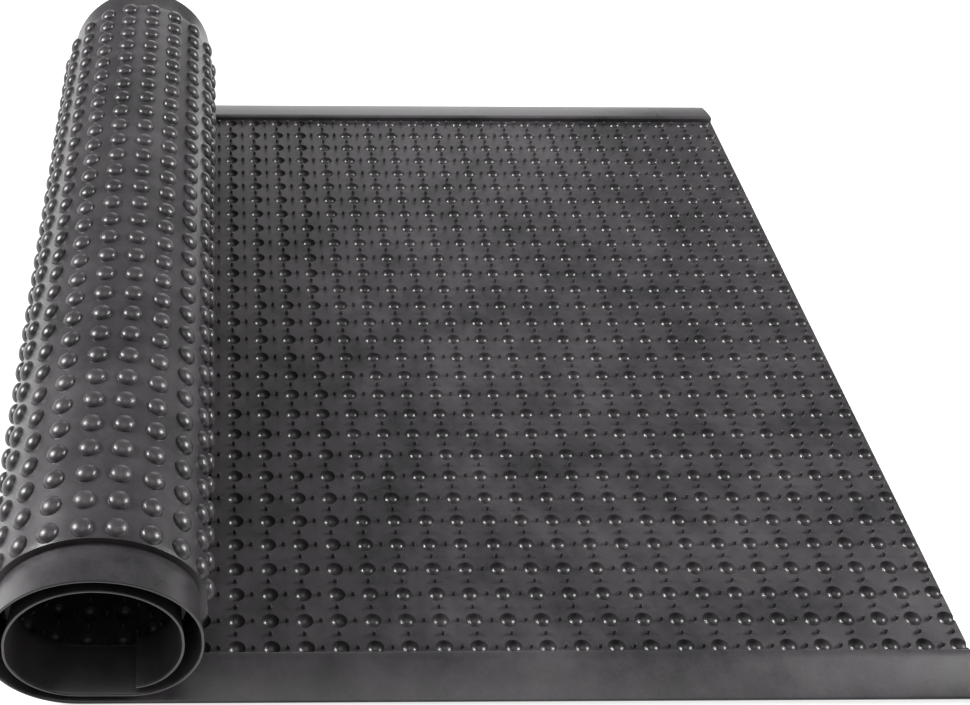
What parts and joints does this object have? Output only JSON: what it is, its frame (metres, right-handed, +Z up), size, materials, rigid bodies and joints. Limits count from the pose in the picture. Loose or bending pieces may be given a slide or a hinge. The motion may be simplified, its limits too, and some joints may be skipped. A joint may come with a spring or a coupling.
{
  "type": "rubber bubble mat",
  "caption": "Black moulded rubber bubble mat with smooth borders, partly rolled up, its flat stretch lying underside up.",
  "frame": {"origin": "on the floor, below the middle of the mat's bounding box", "axes": "+X from the roll to the cut end of the flat stretch, +Y along the roll's axis to its far end, +Z up"},
  "size_m": [0.798, 0.912, 0.1664],
  "materials": {
    "black_rubber": "satin"
  },
  "bodies": {
    "root": {"bubble_mat": "black_rubber"}
  },
  "joints": []
}
